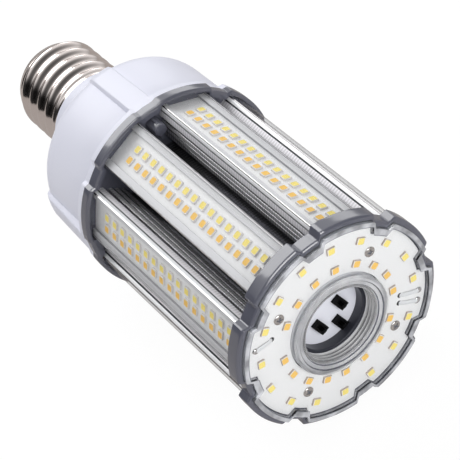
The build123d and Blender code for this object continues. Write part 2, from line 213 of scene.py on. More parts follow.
def tube(path, high, wide, count=14):
    # ellipse carried along a path, its frame kept upright by the axis of the bend
    ahead = np.gradient(path, axis=0)
    ahead /= np.linalg.norm(ahead, axis=1, keepdims=True)
    side = np.cross(ahead, np.cross(path[-1] - path[0], [0.0, 0.0, 1.0])[None] + [[1e-6, 0, 0]])
    side /= np.linalg.norm(side, axis=1, keepdims=True)
    up = np.cross(ahead, side)
    a = fullTurn(count)[..., None]
    ring = high * np.cos(a) * side[:, None] + wide * np.sin(a) * up[:, None]
    return (path[:, None] + ring).reshape(-1, 3), capped(len(path), count)


def outward(points, blocks):
    # turns an island's faces round when the volume inside them, summed over fans of tetrahedra, is negative
    volume = 0.0
    for block in blocks:
        a, b, c = points[block[:, :1]], points[block[:, 1:-1]], points[block[:, 2:]]
        volume += np.sum(a * np.cross(b, c))
    return blocks if volume > 0 else [block[:, ::-1] for block in blocks]


def addPiece(name, islands, finishes, slot, replaced, sharp=35):
    # one mesh from islands of points, face blocks and finish numbers, in place of a CAD node
    verts, polys, tones = [], [], []
    start = 0
    for points, blocks, tone in islands:
        placed = toWorld(points)
        verts.append(placed)
        before = len(polys)
        for block in outward(placed, blocks):
            polys += (block + start).tolist()
        tones.append(np.broadcast_to(tone, (len(polys) - before,)))
        start += len(placed)
    mesh = bpy.data.meshes.new(name)
    mesh.from_pydata(np.concatenate(verts).tolist(), [], polys)
    for finish in finishes:
        mesh.materials.append(finish)
    mesh.polygons.foreach_set("use_smooth", np.ones(len(polys), bool))
    mesh.polygons.foreach_set("material_index", np.concatenate(tones).astype(np.int32))
    mesh.set_sharp_from_angle(angle=np.radians(sharp))
    mesh.update()
    piece = bpy.data.objects.new(name, mesh)
    scene.collection.objects.link(piece)
    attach(piece, "lamp")
    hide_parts(replaced)


# Finishes


class Link:
    # a socket in a node tree; arithmetic on it adds Math nodes
    def __init__(self, tree, socket=None):
        self.tree = tree
        self.socket = socket

    def node(self, kind, settings=None, inputs=None, output=0):
        # a new node of a type, with its settings and then the values or links of its sockets
        made = self.tree.nodes.new(kind)
        for key, value in (settings or {}).items():
            setattr(made, key, value)
        for key, value in (inputs or {}).items():
            if isinstance(value, Link):
                self.tree.links.new(value.socket, made.inputs[key])
            else:
                made.inputs[key].default_value = value
        return Link(self.tree, made.outputs[output])

    def math(self, operation, first, second=0.0):
        return self.node("ShaderNodeMath", {"operation": operation}, {0: first, 1: second})

    def __add__(self, other):
        return self.math("ADD", self, other)

    def __sub__(self, other):
        return self.math("SUBTRACT", self, other)

    def __rsub__(self, other):
        return self.math("SUBTRACT", other, self)

    def __mul__(self, other):
        return self.math("MULTIPLY", self, other)

    __radd__ = __add__
    __rmul__ = __mul__

    def tint(self, low, high):
        # colour from one to the other as the value goes from 0 to 1
        return self.node("ShaderNodeMix", {"data_type": "RGBA"},
                         {"Factor": self, "A": (*low, 1), "B": (*high, 1)}, "Result")


def newFinish(name, constants):
    # Principled surface with its fixed values set, its node and an empty link to build patterns from
    material = bpy.data.materials.new(name)
    material.use_nodes = True
    tree = material.node_tree
    surface = tree.nodes["Principled BSDF"]
    for key, value in constants.items():
        surface.inputs[key].default_value = value
    return material, surface, Link(tree)


def feed(surface, link, key):
    # the link's value goes into the node's socket of that name
    link.tree.links.new(link.socket, surface.inputs[key])


def shades(link, colour, darker, lighter):
    # shades of one colour as the link's value goes from 0 to 1
    colour = np.array(colour)
    return link.tint(colour * (1 - darker), np.minimum(colour * (1 + lighter), 1))


def showMixed(factor, first, second):
    # the material shows the second shader over the first by the factor
    mixed = factor.node("ShaderNodeMixShader", None, {0: factor, 1: first, 2: second})
    feed(mixed.tree.nodes["Material Output"], mixed, "Surface")


def grain(link, scale, detail=4.0, stretch=(1, 1, 1)):
    # cloudy noise on the piece's own coordinates, stretched along one axis for drawn metal
    where = link.node("ShaderNodeTexCoord", output="Object")
    where = link.node("ShaderNodeMapping", None, {"Vector": where, "Scale": stretch})
    return link.node("ShaderNodeTexNoise", None, {"Vector": where, "Scale": scale, "Detail": detail})


def bumped(height, strength, distance):
    # normals tilted by the slope of a height
    return height.node("ShaderNodeBump", None,
                       {"Height": height, "Strength": strength, "Distance": distance}, "Normal")


def stretched(value, low, high):
    # 0 below low, 1 above high
    return value.node("ShaderNodeMapRange", None, {"Value": value, "From Min": low, "From Max": high})


mouldGrain = {"cloud": 60, "gloss": 220, "peel": 900, "peelHigh": 0.0001}


def moulded(name, colour, roughness, speckle, spread, peel=0.12, shine=0.5):
    # moulded plastic: slight cloudiness in colour (spread) and gloss (speckle), fine orange-peel bump
    material, surface, link = newFinish(name, {"Roughness": roughness, "Specular IOR Level": shine})
    feed(surface, shades(grain(link, mouldGrain["cloud"], 3), colour, spread, spread), "Base Color")
    feed(surface, grain(link, mouldGrain["gloss"], 2) * speckle + (roughness - speckle / 2), "Roughness")
    feed(surface, bumped(grain(link, mouldGrain["peel"], 2), peel, mouldGrain["peelHigh"]), "Normal")
    return material


metalGrain = {"darker": 0.06, "lighter": 0.05, "high": 0.0001}


def metal(name, colour, roughness, speckle, stretch, scale, relief):
    # plated or drawn metal: streaks along the drawing direction in gloss and height
    material, surface, link = newFinish(name, {"Metallic": 1.0, "Roughness": roughness})
    streak = grain(link, scale, 5, stretch)
    feed(surface, shades(streak, colour, metalGrain["darker"], metalGrain["lighter"]), "Base Color")
    feed(surface, streak * speckle + (roughness - speckle / 2), "Roughness")
    feed(surface, bumped(streak, relief, metalGrain["high"]), "Normal")
    return material


extrusion = {
    "lines": 500, "lineStretch": (1, 0.03, 1), "marks": 225, "patches": 40, "patchStretch": (1, 0.4, 1),
    "paintedShadeTo": 27.0, "lightFrom": 35.5, "rimShare": 0.6, "gloss": (0.12, 0.08, 0.16), "lineShare": 0.1,
    "relief": 0.12, "high": 0.0002}


def drawnAluminium(name, metallic, deep, bright, dull):
    # extrusion: fine lines along the length, close cross marks from the die, dull and bright patches, and
    # painted shade: dark near the hub, where the gaps between the arms lie in shade, to bright at the rim
    e = extrusion
    material, surface, link = newFinish(name, {"Metallic": metallic})
    along = grain(link, e["lines"], 4, e["lineStretch"])
    where = link.node("ShaderNodeTexCoord", output="Object")
    marks = link.node("ShaderNodeTexWave", {"bands_direction": "Y"}, {
        "Vector": where, "Scale": e["marks"], "Distortion": 0.4, "Detail": 1, "Detail Scale": 3})
    patch = grain(link, e["patches"], 3, e["patchStretch"])
    across = link.node("ShaderNodeSeparateXYZ", None, {"Vector": where}, "X")
    lift = link.node("ShaderNodeSeparateXYZ", None, {"Vector": where}, "Z") - axisZ
    radius = link.math("SQRT", across * across + lift * lift) * 1000
    # painted shade: darker towards the hub, bright from lightFrom outwards
    outer = stretched(radius, e["paintedShadeTo"], e["lightFrom"])
    feed(surface, (outer * e["rimShare"] + marks * (1 - e["rimShare"])).tint(deep, bright), "Base Color")
    lines, patches, rim = e["gloss"]
    feed(surface, along * lines + patch * patches + outer * rim + dull, "Roughness")
    height = along * e["lineShare"] + marks * (1 - e["lineShare"])
    feed(surface, bumped(height, e["relief"], e["high"]), "Normal")
    return material


clearMoulding = {
    "roughness": 0.04, "most": 0.9, "least": 0.02, "through": (0.995, 0.997, 1.0, 1),
    "bend": 1.49, "paintedStreakFrom": 0.36, "paintedStreakTo": 0.64}


def clearPlastic(name, bodyColour, steep):
    # thin clear moulding: see-through, with gloss that grows at grazing angles as a power of the slant
    c = clearMoulding
    material, surface, link = newFinish(name, {"Base Color": (*bodyColour, 1), "Roughness": c["roughness"]})
    slant = link.node("ShaderNodeLayerWeight", None, {"Blend": 0.5}, "Facing")
    through = link.node("ShaderNodeBsdfTransparent", None, {"Color": c["through"]})
    gloss = link.math("POWER", slant, steep) * c["most"] + c["least"]
    showMixed(gloss, through, Link(link.tree, surface.outputs[0]))
    return material


def refracting(name, colour, roughness, clarity, paintedStreaks=0.03, scale=150):
    # thick clear moulding that bends part of the light and scatters the rest, with light and dark streaks
    # painted into its colour as refraction and reflection
    c = clearMoulding
    material, surface, link = newFinish(
        name, {"Roughness": roughness, "Transmission Weight": clarity, "IOR": c["bend"]})
    # painted reflection and refraction: stretched noise makes the colour lighter and darker in streaks
    streak = stretched(grain(link, scale, 2), c["paintedStreakFrom"], c["paintedStreakTo"])
    feed(surface, shades(streak, colour, paintedStreaks, paintedStreaks), "Base Color")
    return material


# metals: colour, roughness, its spread, stretch and scale of the streaks, relief
nickel = metal("nickelPlate", (0.73, 0.665, 0.64), 0.12, 0.08, (1, 0.2, 1), 300, 0.05)
steel = metal("zincSteel", (0.68, 0.65, 0.625), 0.22, 0.12, (1, 1, 1), 500, 0.1)
brass = metal("contactBrass", (0.70, 0.60, 0.42), 0.32, 0.2, (1, 1, 1), 400, 0.2)
tin = metal("solderTin", (0.80, 0.80, 0.80), 0.2, 0.15, (1, 1, 1), 600, 0.2)
copperWire = metal("copperWinding", (0.72, 0.36, 0.18), 0.35, 0.1, (1, 1, 1), 500, 0.3)
clearShoulder = metal("clearShoulder", (0.46, 0.45, 0.455), 0.2, 0.04, (1, 0.05, 1), 300, 0.02)

# drawn metal: how metallic, colour of the painted shade near the hub, colour at the rim, dullness
aluminium = drawnAluminium("drawnAluminium", 0.85, (0.12, 0.12, 0.135), (0.92, 0.915, 0.94), 0.08)
flankSatin = drawnAluminium("flankSatin", 0.25, (0.36, 0.35, 0.37), (0.84, 0.83, 0.86), 0.3)
# painted highlight: the fin tips in a lighter aluminium than the rest
finHighlight = drawnAluminium("finHighlight", 0.55, (0.20, 0.20, 0.215), (0.98, 0.975, 1.0), 0.2)

# mouldings and masks: colour, roughness, its spread, spread of the colour, orange peel, shine
housingWhite = moulded("housingWhite", (0.74, 0.75, 0.85), 0.40, 0.08, 0.01)
ringGrey = moulded("ringGrey", (0.100, 0.103, 0.132), 0.13, 0.04, 0.03, 0.04, 1.0)
blackPlastic = moulded("switchBlack", (0.003, 0.003, 0.0035), 0.4, 0.1, 0.1, 0.1, 0.12)
sleeveDark = moulded("sleeveDark", (0.036, 0.038, 0.05), 0.35, 0.08, 0.05)
# black of the insulator, also the painted shade of the lead holes
blackInsulatorAndHoleShade = moulded("blackInsulatorAndHoleShade", (0.02, 0.02, 0.022), 0.25, 0.06, 0.1)
boardWhite = moulded("boardMask", (0.85, 0.85, 0.845), 0.5, 0.1, 0.012, 0.2)
stripBoardWhite = moulded("stripBoardMask", (0.91, 0.91, 0.91), 0.5, 0.1, 0.012, 0.2)
portBoardWhite = moulded("portBoardMask", (0.78, 0.79, 0.86), 0.5, 0.1, 0.012, 0.2)
# painted shade: near-black grey for the board's cut edge and the screws' cross recesses
shadeDark = moulded("shadeDark", (0.15, 0.155, 0.18), 0.4, 0.1, 0.05)
lipSatin = moulded("lipSatin", (0.73, 0.73, 0.745), 0.42, 0.1, 0.02, 0.05, 0.5)
# painted sheen: the arms' side walls pale white
wallSheen = moulded("wallSheen", (0.93, 0.935, 0.96), 0.2, 0.05, 0.01, 0.02, 1.0)
# painted shade: grey slot sides, a dark line beside the board
slotShade = moulded("slotShade", (0.36, 0.36, 0.38), 0.4, 0.1, 0.05)
# painted shade: the groove at the foot of the side wall near black
grooveShade = moulded("grooveShade", (0.045, 0.048, 0.06), 0.4, 0.1, 0.05)
caseWhite = moulded("ledCase", (0.84, 0.82, 0.78), 0.45, 0.1, 0.01)
# painted shade: the white cases' sides and feet, lighter on the strips and deeper on the end face
caseSideShade = moulded("ledCaseSideShade", (0.72, 0.69, 0.66), 0.45, 0.1, 0.02)
caseSideDeepShade = moulded("ledCaseSideDeepShade", (0.50, 0.42, 0.37), 0.45, 0.1, 0.02)
phosphorCool = moulded("phosphorPale", (0.97, 0.80, 0.21), 0.5, 0.1, 0.04)
phosphorWarm = moulded("phosphorAmber", (0.97, 0.60, 0.13), 0.5, 0.1, 0.04)
wireWhite = moulded("wireSleeve", (0.72, 0.73, 0.74), 0.3, 0.1, 0.02)
driverGreen = moulded("driverMask", (0.05, 0.18, 0.07), 0.4, 0.1, 0.05)
ferriteDark = moulded("ferrite", (0.05, 0.05, 0.055), 0.5, 0.1, 0.1)
canSleeve = moulded("canSleeve", (0.08, 0.09, 0.12), 0.35, 0.1, 0.05)
clearBack = moulded("clearBack", (0.86, 0.87, 0.90), 0.3, 0.08, 0.03)

# clear pieces: colour and steepness of the gloss, or colour, roughness, clarity, spread and scale of the
# painted refraction streaks
clearCover = clearPlastic("clearCover", (0.5, 0.5, 0.52), 5.0)
clearStrip = clearPlastic("clearStrip", (0.12, 0.12, 0.14), 7.0)
clearRim = refracting("clearRim", (0.95, 0.955, 0.98), 0.03, 0.8, 0.32, 90)
clearShade = refracting("clearShade", (0.15, 0.155, 0.185), 0.05, 0.35, 0.3, 75)
clearThread = refracting("clearThread", (0.97, 0.975, 1.0), 0.03, 0.2, 0.45, 75)
clearSkirt = refracting("clearSkirt", (0.86, 0.89, 0.94), 0.03, 0.85)
clearTop = refracting("clearTop", (0.66, 0.67, 0.71), 0.04, 0.42, 0.36, 170)
# painted shade: the thin dark line on the top at the skirt's inner edge, standing for dark refraction
clearLine = refracting("clearLine", (0.22, 0.23, 0.26), 0.05, 0.2)
print("finishes made")

# Lamp base. The foot is given from the thread's crest, the rim from the hole and the cone from the button.

baseShape = {
    "depth": 1.75, "pitch": 6.35, "blunt": 0.8, "skirt": 2.6, "runOut": 2.2, "runInFrom": 3.6, "runIn": 2.5,
    "band": 6.0, "bandIn": 0.55, "root": 0.1, "neckIn": 0.9, "neckTo": 4.5, "neckLong": 2.6, "start": 1.9,
    "fit": 0.02, "wall": 2.3, "wallFrom": 4.0, "hole": 4.7, "holeHigh": 1.2, "turns": 240, "rows": 190,
    "foot": [(-4.75, 0.4), (-4.6, 0.05), (-3.6, 0.5)]}


def makeShell():
    # thread: radius follows a rounded wave of the phase height / pitch - turn, fading at both ends
    b = baseShape
    crest = threadRadius
    edge = shellHigh - b["fit"]
    z = np.linspace(shellLow + b["start"], edge, b["rows"])[:, None]
    a = fullTurn(b["turns"])
    wave = (0.5 + 0.5 * np.cos(2 * np.pi * (z / b["pitch"] - a / (2 * np.pi)))) ** b["blunt"]
    fade = rampEase((shellHigh - b["skirt"] - z) / b["runOut"])
    fade = fade * rampEase((z - shellLow - b["runInFrom"]) / b["runIn"])
    root = crest - b["depth"]
    plain = np.where(z > shellHigh - b["band"], crest - b["bandIn"], root + b["root"])
    radius = plain + (root + b["depth"] * wave - plain) * fade
    radius -= b["neckIn"] * rampEase((shellLow + b["neckTo"] - z) / b["neckLong"])
    foot = np.array(b["foot"]) + [crest, shellLow]
    inner = np.array([(crest - b["wall"], edge), (crest - b["wall"], shellLow + b["wallFrom"]),
                      (crest - b["hole"], shellLow + b["holeHigh"])])
    grid = np.concatenate([polar(foot[:, :1], a, foot[:, 1:]), polar(radius, a, z),
                           polar(inner[:, :1], a, inner[:, 1:])])
    islands = [(grid.reshape(-1, 3), [gridFaces(len(grid), b["turns"], True, True)], 0)]
    addPiece("screwShell", islands, [nickel], "nickel", "screw_shell", sharp=50)


tipShape = {
    "buttonIn": 12.5, "contactIn": 0.2, "domeHigh": 0.75, "domePowers": (0.9, 1.6), "domeSteps": 14,
    "rim": [(-0.02, 8.0), (-1.6, 6.4), (-2.2, 5.6), (-3.0, 5.2)],
    "cone": [(3.2, 2.6), (2.6, 1.7), (1.5, 0.7), (0.4, 0.02)]}


def makeTip():
    # insulator: turned profile from the shell's hole over a cone to the contact's seat;
    # contact: its radius a power of a sine and its height a power of one minus the cosine
    d = tipShape
    fit = baseShape["fit"]
    low, high = span("base_insulator")
    hole = threadRadius - baseShape["hole"]
    button = threadRadius - d["buttonIn"]
    profile = np.concatenate([[(0, high), (hole - fit, high)], np.array(d["rim"]) + [hole, low],
                              np.array(d["cone"]) + [button, low], [(0, low + fit)]])
    islands = [(*turnedSolid(profile, 120), 0)]
    addPiece("baseInsulator", islands, [blackInsulatorAndHoleShade], "insulator", "base_insulator")
    top = span("centre_contact")[1]
    t = np.linspace(0, np.pi / 2, d["domeSteps"])
    edge = button - d["contactIn"]
    outPower, upPower = d["domePowers"]
    rise = top * d["domeHigh"] * (1 - np.cos(t)) ** upPower
    dome = np.stack([edge * np.sin(t) ** outPower, fit + rise], 1)
    dome = np.concatenate([dome, [[edge, top], [0, top]]])
    addPiece("centreContact", [(*turnedSolid(dome, 64), 0)], [brass], "contact", "centre_contact")


makeShell()
makeTip()
print("base made")

# Driver housing

housingShape = {
    "wall": 2.2, "rise": 3.3, "neckOver": 1.3, "neck": 11.5, "shoulder": 15.0, "ribHalf": 6.6,
    "ribEdge": 0.8, "ribFlank": 1.2, "ribEase": 0.35, "rim": 3.3, "rimIn": 0.3, "rimEdge": 0.8,
    "rimFlank": 1.4, "rimEase": 0.4, "gapDrop": 1.4, "ribDrop": 0.8, "blur": 1.6, "turns": 720,
    "samples": 400, "inside": 3.0, "throat": (5.0, 5.4),
    "ribFoot": [(-5.5, -4.5), (-2.4, 0.1)], "ribHead": [(0.8, -1.1)],
    "flare": [(0, -0.77), (0, -0.1), (0.05, 0.16), (0.18, 0.28), (0.52, 0.44), (0.70, 0.55),
              (0.86, 0.71), (0.95, 0.87), (0.98, 1.0), (1.0, 3.2)]}


def makeHousing():
    # round body: a blurred flare from the neck to the base radius, along the shoulder's length;
    # four ribs and the lobed rim stand out of it with rounded flanks
    h = housingShape
    base = lobeRadius - h["rise"]
    neck = threadRadius + h["neckOver"]
    neckEnd = shellHigh + h["neck"]
    shoulder = neckEnd + h["shoulder"]
    rimLow = housingHigh - h["rim"]
    knots = np.array(h["flare"])
    where = np.interp(np.linspace(0, 1, h["samples"]), np.linspace(0, 1, len(knots)), knots[:, 1])
    across = np.interp(where, knots[:, 1], knots[:, 0])
    # heights of the rows, closest where the outline bends: from, to and how many
    stretches = [(shellHigh, neckEnd - 1, 8), (neckEnd, shoulder + 1, 44), (shoulder + 2, rimLow - 1.2, 16),
                 (rimLow - 0.9, rimLow + 0.6, 7), (rimLow + 1.2, housingHigh, 4)]
    z = np.concatenate([np.linspace(*stretch) for stretch in stretches])
    soft = np.linspace(-h["blur"], h["blur"], 9)[:, None]
    flare = np.interp((z[None] + soft - neckEnd) / h["shoulder"], where, across).mean(0)
    profile = neck + (base - neck) * flare
    a = np.linspace(0, 360, h["turns"], endpoint=False)
    off = np.abs((a + gapTurn + stripStep) % (2 * stripStep) - stripStep)[None]
    rib = rampEase((h["ribHalf"] + h["ribEdge"] - off) / h["ribFlank"], h["ribEase"])
    ribTop = lobeRadius - h["ribDrop"]
    # a rib's foot is given from the shoulder and the base radius, its head from the shoulder and its top
    ribPath = np.concatenate([np.array(h["ribFoot"]) + [shoulder, base],
                              np.array(h["ribHead"]) + [shoulder, ribTop], [(rimLow, ribTop)]])
    ribHigh = np.interp(z, ribPath[:, 0], ribPath[:, 1], left=0)
    radius = profile[:, None] + np.maximum(ribHigh - profile, 0)[:, None] * rib
    rimTopRadius = lobeRadius - h["rimIn"]
    edge = lobedRadius(a, rimTopRadius, rimTopRadius - h["gapDrop"], ribTop)[None]
    inRim = rampEase((z - rimLow + h["rimEdge"]) / h["rimFlank"], h["rimEase"])[:, None]
    radius = radius + np.maximum(edge - radius, 0) * inRim
    turn = np.radians(a)[None]
    inside = np.array([(base - h["wall"], housingHigh), (base - h["wall"], shoulder + h["inside"]),
                       (neck - h["throat"][0], neckEnd + h["inside"]), (neck - h["throat"][1], shellHigh)])
    grid = np.concatenate([polar(radius, turn, z[:, None]), polar(inside[:, :1], turn, inside[:, 1:])])
    islands = [(grid.reshape(-1, 3), [gridFaces(len(grid), len(a), True, True)], 0)]
    addPiece("driverHousing", islands, [housingWhite], "housing", "driver_housing", sharp=40)


makeHousing()
print("housing made")

# Rear collar and front ring

pocketShape = {"lobe": 41.2, "drop": 2.6, "inset": 0.6}


def pocketRow(z):
    # hollow that takes an end of the star section
    p = pocketShape
    return lobeRow(p["lobe"], p["lobe"] - p["drop"], z, p["inset"])


collarShape = {
    "high": 4.0, "plate": 1.6, "gapDrop": 1.4, "ribDrop": 0.8, "lip": (1.2, 1.0, 1.4), "lipHigh": 0.5,
    "pocketDown": 0.1, "bore": 14.0, "bossCircle": 34.7, "bossRadius": 2.6, "bossLong": 6.6,
    "bossFlare": 0.25, "bossDraft": 0.05, "bossSunk": 0.2, "webIn": 5.6, "webOut": 3.4, "webHalf": 0.55,
    "webShort": 1.6, "webRound": 0.2,
    "bossTop": [(0, -0.5), (-0.15, -0.15), (-0.5, 0)],
    "rounding": [0.15, 0.35, 0.3, 0.15, 0.1, 0.1, 0.1]}


def makeCollar():
    # lobed skirt with a rounded lip round a plate, and a blind boss with its gusset in every second gap
    c = collarShape
    low, high = housingHigh, housingHigh + c["high"]
    plate = low + c["plate"]
    lobe, gap, rib = lobeRadius, lobeRadius - c["gapDrop"], lobeRadius - c["ribDrop"]
    lip = np.array([lobe, gap, rib]) - c["lip"]
    rows = [(lobe, gap, rib, 0, low), (lobe, gap, rib, 0, high - c["lipHigh"]), (*lip, 0, high),
            pocketRow(high - c["pocketDown"]), pocketRow(plate), roundRow(c["bore"], plate),
            roundRow(c["bore"], low)]
    islands = [(*lobedSweep(rows, c["rounding"]), 0)]
    top, foot = plate + c["bossLong"], low + c["bossSunk"]
    flare = c["bossRadius"] + c["bossFlare"]
    bossTop = [(c["bossRadius"] + out, top + up) for out, up in c["bossTop"]]
    boss = [(0, foot), (flare, foot), (flare - c["bossDraft"], plate), *bossTop, (0, top)]
    bossPoints, bossFaces = turnedSolid(boss)
    inner, outer, half = c["bossCircle"] - c["webIn"], c["bossCircle"] + c["webOut"], c["webHalf"]
    web = roundCorners([(inner, -half), (outer, -half), (outer, half), (inner, half)], c["webRound"], 3)
    webPoints, webFaces = prism(web, plate - c["bossSunk"], top - c["webShort"])
    for angle in quarters - gapTurn:
        islands.append((spun(bossPoints + [c["bossCircle"], 0, 0], angle), bossFaces, 0))
        islands.append((spun(webPoints, angle), webFaces, 0))
    addPiece("rearCollar", islands, [ringGrey], "ring", "rear_collar")


endFace = {"outer": 33.0, "inner": 23.9, "screwCircle": 28.45, "screwAngle": 22.5,
           "outerAngles": [10, 31, 55, 78, 101, 123, 145, 166, 188, 210, 239, 260, 282, 304, 326, 348],
           "innerAngles": [7, 28, 64, 85, 107, 128, 148, 169, 189, 210, 239, 260, 281, 302, 324, 345]}
ringShape = {
    "overlap": 2.35, "recess": 2.6, "lip": 0.75, "lipHigh": 0.55, "ledge": 0.5, "rebate": 2.1,
    "rebateGap": 2.0, "boardLobe": 38.9, "boardGap": 35.7, "port": 20.5, "bossRadius": 2.9, "bossLong": 7.8,
    "bossEdge": 0.3, "bossSunk": 0.2,
    "rounding": [0.25, 0.4, 0.3, 0.15, 0.1, 0.1, 0.1, 0.1, 0.1, 0.1, 0.25]}


def makeRing():
    # lobed wall with a rounded lip, a rebate for the cover, a pocket for the board, a plate and screw bosses
    r = ringShape
    low, plate = sinkHigh - r["overlap"], sinkHigh
    lobe, gap, lip = lobeRadius, lobeRadius - r["recess"], r["lip"]
    coverLobe, coverGap = lobe - r["rebate"], gap - r["rebateGap"]
    ledge = ringHigh - r["ledge"]
    rows = [lobeRow(lobe, gap, low), lobeRow(lobe, gap, ringHigh - r["lipHigh"]),
            lobeRow(lobe - lip, gap - lip, ringHigh), lobeRow(coverLobe, coverGap, ringHigh),
            lobeRow(coverLobe, coverGap, ledge), lobeRow(r["boardLobe"], r["boardGap"], ledge),
            lobeRow(r["boardLobe"], r["boardGap"], boardLow), roundRow(r["port"], boardLow),
            roundRow(r["port"], plate), pocketRow(plate), pocketRow(low)]
    islands = [(*lobedSweep(rows, r["rounding"]), 0)]
    radius, edge = r["bossRadius"], r["bossEdge"]
    end, sunk = plate - r["bossLong"], plate + r["bossSunk"]
    boss = [(0, end), (radius - edge, end), (radius, end + edge), (radius, sunk), (0, sunk)]
    points, faces = turnedSolid(boss)
    for angle in quarters + endFace["screwAngle"]:
        islands.append((spun(points + [endFace["screwCircle"], 0, 0], angle), faces, 0))
    addPiece("frontRing", islands, [ringGrey], "ring", "front_ring")


makeCollar()
makeRing()
print("collar and ring made")

# Heat sink and strip covers

armShape = {
    "hub": 21.5, "bore": 18.5, "root": 1.2, "hubShort": 1.85, "web": 3.2, "half": 10.05, "head": 2.7,
    "fin": 1.7, "finPitch": 2.7, "finGap": 0.4, "reach": [8.7, 7.9, 7.0], "ledge": 37.0, "groove": 0.4,
    "grooveHalf": 0.25, "sink": 1.2, "channel": 7.6, "slot": 37.36, "lip": 1.4, "lipIn": 6.9, "wall": 0.55,
    "wallTop": 38.75, "wallEdge": (0.42, 0.09), "round": 0.18}
lipTop = armShape["ledge"] + armShape["lip"]


def makeSink():
    # one arm's outline, drawn as its right half and mirrored, repeated round a tube
    s = armShape
    half, ledge, top = s["half"], s["ledge"], s["wallTop"]
    headLow = ledge - s["head"]
    side = [(s["bore"] + s["root"], s["web"])]
    for k in (2, 1, 0):
        middle = headLow - (k + 1) * s["finPitch"] - s["finGap"]
        low, high = middle - s["fin"] / 2, middle + s["fin"] / 2
        side += [(low, s["web"]), (low, s["reach"][k]), (high, s["reach"][k]), (high, s["web"])]
    side += [(headLow, s["web"]), (headLow, half), (ledge - s["grooveHalf"], half),
             (ledge, half - s["groove"]), (ledge + s["grooveHalf"], half), (top - s["wallEdge"][0], half),
             (top, half - s["wallEdge"][1]), (top, half - s["wall"]), (lipTop, half - s["wall"]),
             (lipTop, s["lipIn"]), (s["slot"], s["lipIn"]), (s["slot"], s["channel"]),
             (ledge - s["sink"], s["channel"])]
    side = np.array(side)
    outline = roundCorners(np.concatenate([side, side[::-1] * [1, -1]]), s["round"])
    points, faces = prism(outline, sinkLow, sinkHigh)
    # finish by place: 3 groove in painted shade, 2 side wall painted pale as its sheen, 4 flank of the head,
    # 5 painted shade line in the slot, 1 lip, 6 fin tips painted lighter as highlights, and bright aluminium
    # elsewhere and on the two ends
    following = np.roll(outline, -1, 0)
    up, out = ((outline + following) / 2).T
    out = np.abs(out)
    flat = np.abs(following - outline)[:, 1] < 0.01
    onSide = out > half - s["wall"] - 0.05
    inGroove = (out > half - s["groove"] - 0.1) & (np.abs(up - ledge) < s["grooveHalf"] + 0.05)
    inSlot = (up > s["slot"] + 0.1) & (out < s["lipIn"] + 0.05)
    onTips = (up < headLow) & (out > s["reach"][2] - 0.2) & flat
    places = [inGroove, onSide & (up > ledge), onSide & (up > headLow + 0.1), inSlot, up > lipTop - 0.2,
              onTips]
    tone = np.append(np.select(places, [3, 2, 4, 5, 1, 6], 0), [0, 0])
    islands = [(spun(points, stripStep * k), faces, tone) for k in range(strips)]
    hubHigh = sinkHigh - s["hubShort"]
    hub = [(s["bore"], sinkLow), (s["hub"], sinkLow), (s["hub"], hubHigh), (s["bore"], hubHigh)]
    islands.append((*turnedRing(hub, 0.1, 2), 0))
    finishes = [aluminium, lipSatin, wallSheen, grooveShade, flankSatin, slotShade, finHighlight]
    addPiece("heatSink", islands, finishes, "aluminium", "heat_sink", sharp=30)


stripCoverShape = {
    "roof": 41.1, "arch": 27.0, "corner": 1.2, "thick": 1.1, "leg": 0.95, "fit": 0.03, "steep": 0.85}


def makeStripCovers():
    # C-shaped section: arched roof as wide as the arm, round corners down to its side walls, legs on its lips
    s, d = armShape, stripCoverShape
    arch, bend = d["arch"], d["corner"]
    centre = d["roof"] - arch
    side = s["half"] - bend
    legIn, legOut = s["half"] - d["leg"], s["half"] - s["wall"] - d["fit"]
    foot, shoulder = lipTop + d["fit"], s["wallTop"] + d["fit"]
    turn = np.arcsin(side / (arch - bend))
    over = np.linspace(-turn, turn, 25)
    top = np.stack([centre + arch * np.cos(over), arch * np.sin(over)], 1)
    hollow = arch - d["thick"]
    under = np.linspace(1, -1, 25) * np.arcsin(legIn / hollow)
    below = np.stack([centre + hollow * np.cos(under), hollow * np.sin(under)], 1)
    high = centre + (arch - bend) * np.cos(turn)
    t = np.linspace(turn, np.arccos((shoulder - high) / bend), 9)[1:]
    corner = np.stack([high + bend * np.cos(t), side + bend * np.sin(t)], 1)
    leg = np.concatenate([corner, [[shoulder, legOut], [foot, legOut], [foot, legIn]]])
    section = np.concatenate([top, leg, below, leg[::-1] * [1, -1]])
    points, faces = prism(section, sinkLow, sinkHigh)
    # 1 on the steep part of the corners, 0 elsewhere and on the two ends
    following = np.roll(section, -1, 0)
    run = np.abs(following - section)
    steep = (run[:, 0] > d["steep"] * run[:, 1]) & (np.abs(section + following)[:, 1] / 2 > side)
    tone = np.append(steep, [0, 0]).astype(int)
    for k in range(strips):
        addPiece("stripCover%d" % (k + 1), [(spun(points, stripStep * k), faces, tone)],
                 [clearStrip, clearShoulder], "clear", "strip_cover_%d" % (k + 1), sharp=30)


makeSink()
makeStripCovers()
print("heat sink and covers made")

# LEDs

ledShape = {
    "long": 3.5, "short": 2.8, "high": 0.75, "side": 0.55, "corner": 0.12, "bevel": 0.08,
    "rim": (0.44, 0.15), "window": 0.36, "well": 0.08, "wellIn": 0.06}
stripLeds = {"row": 2.48, "count": 16, "first": 9.3, "last": 8.9, "boardTop": 37.3}


